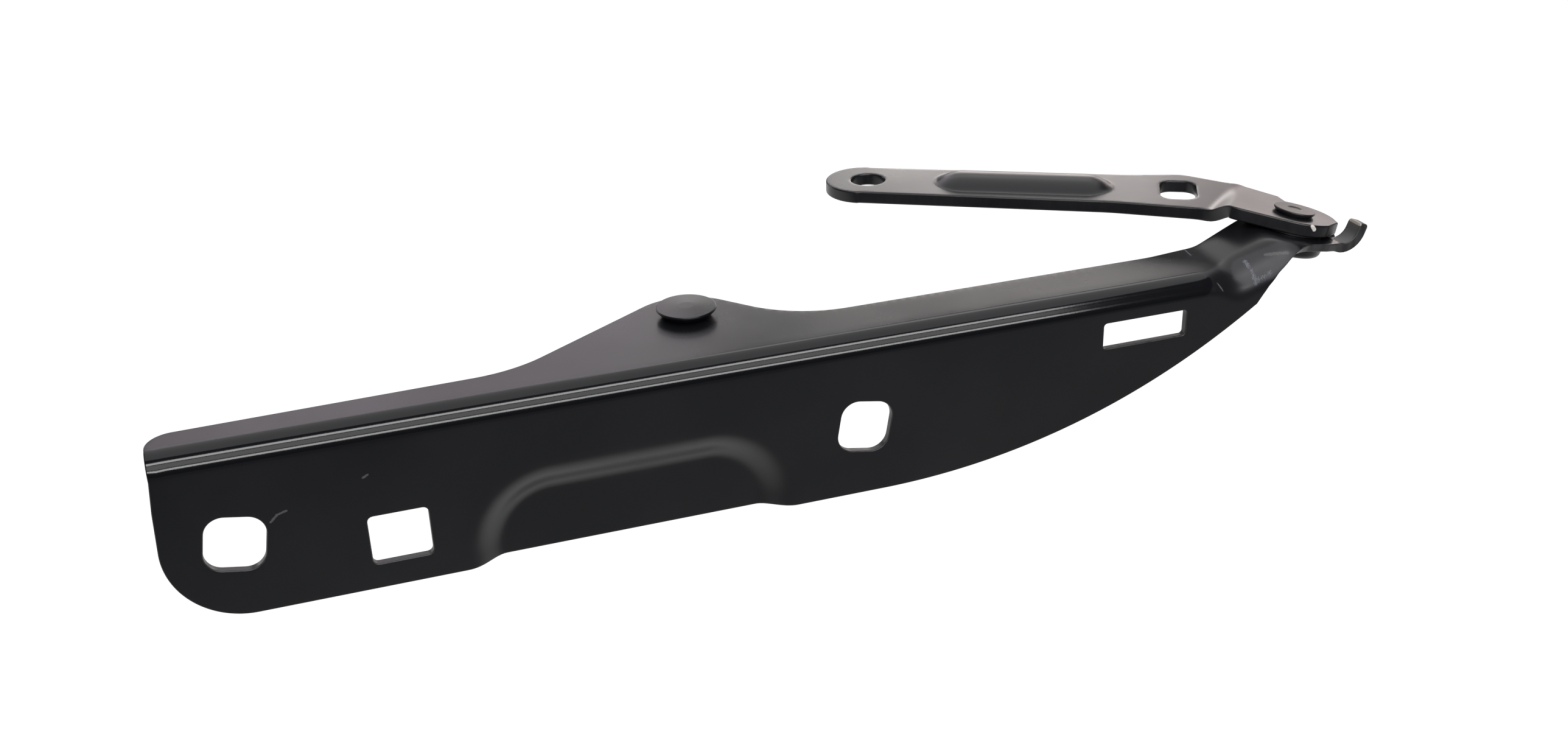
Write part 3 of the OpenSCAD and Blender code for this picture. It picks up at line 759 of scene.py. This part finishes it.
def paint(name, deep, pale, gloss, dull, specular, marks=(), bare_cut=1.0):
    material = bpy.data.materials.new(name)
    material.use_nodes = True
    tree = material.node_tree
    shader = tree.nodes["Principled BSDF"]
    shader.inputs["Specular IOR Level"].default_value = specular
    film = add(tree, "ShaderNodeGroup", {"Deep": (*deep, 1), "Pale": (*pale, 1), "Gloss": gloss,
                                         "Dull": dull}, node_tree=skin).outputs
    on_cut = add(tree, "ShaderNodeAttribute", attribute_name="cut").outputs["Fac"]
    bare = math_node(tree, "MULTIPLY", on_cut, bare_cut)
    edge = add(tree, "ShaderNodeGroup", {"Mask": bare, "Colour": film["Colour"],
                                         "Roughness": film["Roughness"]}, node_tree=shear).outputs
    colour, rough = edge["Colour"], edge["Roughness"]
    # Each mark mixes in its colour and roughness: most marks are wear, but the grey stroke and the
    # bluish scuffs on the nose also paint a highlight.
    for first, last, width, broken, wear_and_highlight_colour, mark_rough in marks:
        ends = {"Start": Vector(first) * MM, "End": Vector(last) * MM}
        mask = add(tree, "ShaderNodeGroup", {**ends, "Width": width * MM, "Broken": broken},
                   node_tree=scuff_and_highlight).outputs["Mask"]
        colour = mix_colour(tree, mask, colour, (*wear_and_highlight_colour, 1))
        rough = mix_value(tree, mask, rough, mark_rough)
    bump = add(tree, "ShaderNodeBump", {"Height": film["Height"], "Strength": PEEL_STRENGTH,
                                        "Distance": PEEL_DEPTH})
    tree.links.new(colour, shader.inputs["Base Color"])
    tree.links.new(rough, shader.inputs["Roughness"])
    tree.links.new(bump.outputs["Normal"], shader.inputs["Normal"])
    print(name, len(tree.nodes), "nodes")
    return material


# %% [markdown]
# ## Marks of handling, painted highlights and the four paints
# The arm has small scuffs on its web, worn paint where the bend is cut off and on the finger, and
# a bare tip. Where the bend is cut off, a lighter grey stroke on the nose is a painted highlight, and
# the bluish scuffs beside it are lightened and widened so that they paint the bulge's highlight too.
# The arm's first mark is no scuff: the long bend is smoother than the flats, as a die would leave it,
# and so it mirrors the lamps in sharp lines. Each mark has its two ends, its width, how broken it is,
# its colour and its roughness. The bracket's eye has one bare spot.

# %% Where the marks are
# The second grey is worn paint on the finger and also a painted highlight on the nose; the blue grey
# scuffs are lightened so that they paint the bulge's highlight as well.
GREY, WORN_AND_HIGHLIGHT_GREY, BLUE_SCUFF_AND_HIGHLIGHT = (0.065, 0.065, 0.07), (0.07, 0.07, 0.072), (0.10, 0.104, 0.125)
BURNISHED, WORN = (0.004, 0.0042, 0.0055), (0.024, 0.024, 0.028)
BARE, PLAIN_STEEL = (0.30, 0.27, 0.23), (0.6, 0.57, 0.54)
tip_x, tip_z = (float(c) for c in top_line(np.array(tip_p - 0.4)))
rub_x, rub_z = top_line(np.array((finger_p + 2.5, tip_p - 1.5)))
arm_marks = [(seat + np.array(first), seat + np.array(last), *wear_and_highlight) for first, last, *wear_and_highlight in (
    ((-336, -18.2, -4.6), (-42, -18.2, -4.6), 5.5, 0.0, BURNISHED, 0.1),
    ((-308.4, -20, -25.8), (-306.6, -20, -24.0), 0.8, 1.0, GREY, 0.5),
    ((-306.6, -20, -24.0), (-304.2, -20, -23.3), 0.8, 1.1, GREY, 0.5),
    ((-284.4, -20, -17.9), (-283.2, -20, -17.3), 0.8, 1.0, GREY, 0.5),
    ((-211.9, -20, -30.6), (-210.5, -20, -30.2), 0.5, 0.6, GREY, 0.5),
    ((-36.3, -18.6, -5.0), (-34.4, -19.9, -8.0), 0.6, 0.7, GREY, 0.5),
    ((-25.0, -17.0, -3.0), (-13.0, -18.0, -0.6), 9.0, 0.5, WORN, 0.45),
    # Painted highlight: a lighter grey stroke along the nose's top, where light falls, not wear.
    ((-18.4, -15.4, -0.3), (-12.6, -17.8, 0.2), 1.6, 1.2, WORN_AND_HIGHLIGHT_GREY, 0.5),
    # Bluish scuffs at the nose, lightened and widened so that they also paint the bulge's highlight.
    ((-24.6, -14.2, -1.9), (-24.3, -15.9, -3.0), 2.1, 1.35, BLUE_SCUFF_AND_HIGHLIGHT, 0.5),
    ((-23.8, -16.9, -3.8), (-23.7, -18.2, -5.4), 2.0, 1.55, BLUE_SCUFF_AND_HIGHLIGHT, 0.5),
    ((-23.7, -18.2, -5.4), (-23.4, -19.2, -7.2), 2.4, 1.45, BLUE_SCUFF_AND_HIGHLIGHT, 0.5),
    ((-22.6, -19.0, -6.4), (-18.8, -18.9, -4.8), 3.2, 1.65, BLUE_SCUFF_AND_HIGHLIGHT, 0.5),
    ((rub_x[0], -10, rub_z[0]), (rub_x[1], -10, rub_z[1]), 4.6, 0.4, WORN_AND_HIGHLIGHT_GREY, 0.5),
    ((-34.6, 3.4, -2.8), (-35.4, -2.4, -2.8), 0.5, 0.9, GREY, 0.5),
    ((tip_x, -12.4, tip_z), (tip_x, -6.0, tip_z), 1.1, 0.6, BARE, 0.4))]
eye_marks = [(eye_frame @ Vector((-1.2, -11.7, -0.3)), eye_frame @ Vector((-0.3, -11.8, -1.3)),
              1.2, 0.7, PLAIN_STEEL, 0.4)]
print("marks:", len(arm_marks), "on the arm,", len(eye_marks), "on the eye")

# %% Paint the pieces
DEEP, PALE = (0.0034, 0.0036, 0.005), (0.007, 0.007, 0.0088)
RIVET_DEEP, RIVET_PALE = (0.014, 0.014, 0.015), (0.03, 0.03, 0.03)
paints = {
    "arm_paint": paint("arm_paint", DEEP, PALE, gloss=0.23, dull=0.31, specular=0.4,
                       marks=arm_marks),
    "stud_paint": paint("stud_paint", DEEP, PALE, gloss=0.22, dull=0.32, specular=0.36),
    "bracket_paint": paint("bracket_paint", DEEP, PALE, gloss=0.25, dull=0.33, specular=0.4,
                           marks=eye_marks, bare_cut=0.12),
    "rivet_paint": paint("rivet_paint", RIVET_DEEP, RIVET_PALE, gloss=0.28, dull=0.42, specular=0.3)}
dressed = {arm: "arm_paint", bracket: "bracket_paint", rivet: "rivet_paint", ear_stud: "stud_paint",
           frame["nodes"]["pivot_bush"]: "rivet_paint"}
for obj, slot in dressed.items():
    obj.data.materials.clear()
    obj.data.materials.append(paints[slot])
print("painted:", [obj.name for obj in dressed])

# %% [markdown]
# ## Floor and light
# The bracket's bolt holds the hinge, and the arm can swing down below it, so the pale floor lies
# 90 mm under the part and the shadow is faint. Floor and world are white to the camera, through
# Light Path, and dimmer in reflections, most of all on the floor in front of the web. Black paint
# shows its form by what it mirrors: boxes behind the part light its tops, two strips over the camera
# draw the two lines along the bend, and a fill between the strips lights the band between those lines.

# %% Floor
FLOOR_DROP, FLOOR_HALF, FLOOR_ROUGH = 0.09, 4, 0.9
FLOOR_GREY, BLACK, WHITE = (0.07, 0.07, 0.07, 1), (0, 0, 0, 1), (1, 1, 1, 1)
FLOOR_SHOWN = 0.96
FRONT_EDGE, FRONT_SHOWN, FRONT_SLANT = (-0.43, -0.36), (0.02, 0.27), 0.25
BACK_EDGE, BACK_SHOWN = (-0.22, -0.12), (0.0, 0.65)
low = cad_box[0][2] - FLOOR_DROP
floor_mesh = bpy.data.meshes.new("floor")
floor_mesh.from_pydata([(FLOOR_HALF * a, FLOOR_HALF * b, low)
                        for a, b in ((-1, -1), (1, -1), (1, 1), (-1, 1))], [], [(0, 1, 2, 3)])
floor = bpy.data.objects.new("floor", floor_mesh)
bpy.context.scene.collection.objects.link(floor)


def ray_kinds(tree):
    rays = add(tree, "ShaderNodeLightPath").outputs
    mirrored = math_node(tree, "MAXIMUM", rays["Is Glossy Ray"], rays["Is Transmission Ray"])
    return rays["Is Camera Ray"], mirrored


floor_white = bpy.data.materials.new("floor_white")
floor_white.use_nodes = True
tree = floor_white.node_tree
shader = tree.nodes["Principled BSDF"]
shader.inputs["Base Color"].default_value = FLOOR_GREY
shader.inputs["Roughness"].default_value = FLOOR_ROUGH
to_camera, mirrored = ray_kinds(tree)
here = add(tree, "ShaderNodeTexCoord").outputs["Object"]
spot = add(tree, "ShaderNodeSeparateXYZ", {0: here}).outputs
reach = math_node(tree, "ADD", spot["Y"], math_node(tree, "MULTIPLY", spot["X"], FRONT_SLANT))
in_gloss = math_node(tree, "ADD", ramp(tree, reach, *FRONT_EDGE, *FRONT_SHOWN),
                     ramp(tree, spot["Y"], *BACK_EDGE, *BACK_SHOWN))
shown = math_node(tree, "ADD", math_node(tree, "MULTIPLY", mirrored, in_gloss),
                  math_node(tree, "MULTIPLY", to_camera, FLOOR_SHOWN))
tree.links.new(mix_colour(tree, shown, BLACK, WHITE), shader.inputs["Emission Color"])
shader.inputs["Emission Strength"].default_value = 1
floor.data.materials.append(floor_white)
print("floor at", round(low, 4))

# %% World
SKY, SKY_MIRRORED = (0.02, 0.02, 0.022, 1), 0.045
world = bpy.data.worlds.new("world")
bpy.context.scene.world = world
world.use_nodes = True
sky = world.node_tree
to_camera, mirrored = ray_kinds(sky)
shown = math_node(sky, "ADD", math_node(sky, "MULTIPLY", mirrored, SKY_MIRRORED), to_camera)
sky.links.new(mix_colour(sky, shown, SKY, WHITE), sky.nodes["Background"].inputs["Color"])
print("world", len(sky.nodes), "nodes")

# %% Light
FRONT_AIM = (-0.05, -0.1, 0)


def softbox(name, place, aim, size, radiance, tint=(1, 1, 1)):
    light = bpy.data.lights.new(name, "AREA")
    light.shape = "RECTANGLE"
    light.color = tint
    light.size, light.size_y = size
    light.energy = radiance * math.pi * size[0] * size[1]
    obj = bpy.data.objects.new(name, light)
    bpy.context.scene.collection.objects.link(obj)
    obj.location = place
    obj.rotation_euler = (Vector(aim) - Vector(place)).to_track_quat("-Z", "Y").to_euler()
    print(name, "radiance", radiance)


softbox("back_left", (-0.1, 1.07, 0.56), (-0.15, -0.09, 0), (0.6, 0.42), 1.65, (1, 0.89, 0.97))
softbox("back_mid", (0.48, 1.12, 0.33), (0, -0.08, 0), (0.6, 0.32), 2.5, (1, 0.98, 0.95))
softbox("back_high", (0.47, 0.92, 0.90), (0.05, 0, 0), (0.7, 0.32), 0.9)
softbox("back_right", (0.87, 0.93, 0.25), (0.09, -0.07, 0), (1.0, 0.34), 2.65, (1, 0.88, 0.86))
softbox("low_left", (-0.8, 0.97, 0.17), (0.12, -0.08, 0), (0.5, 0.32), 3.0)
softbox("overhead", (0.1, 0.35, 1.15), (0, -0.08, 0), (1.8, 1.7), 1.1)
softbox("front_top", (-0.05, -0.72, 1.0), FRONT_AIM, (1.3, 0.2), 10)
softbox("front_fill", (-0.05, -1.0, 0.74), FRONT_AIM, (1.3, 0.42), 2.4)
softbox("front_low", (-0.05, -1.18, 0.41), FRONT_AIM, (1.3, 0.17), 10)
bpy.context.scene.view_settings.view_transform = "Standard"
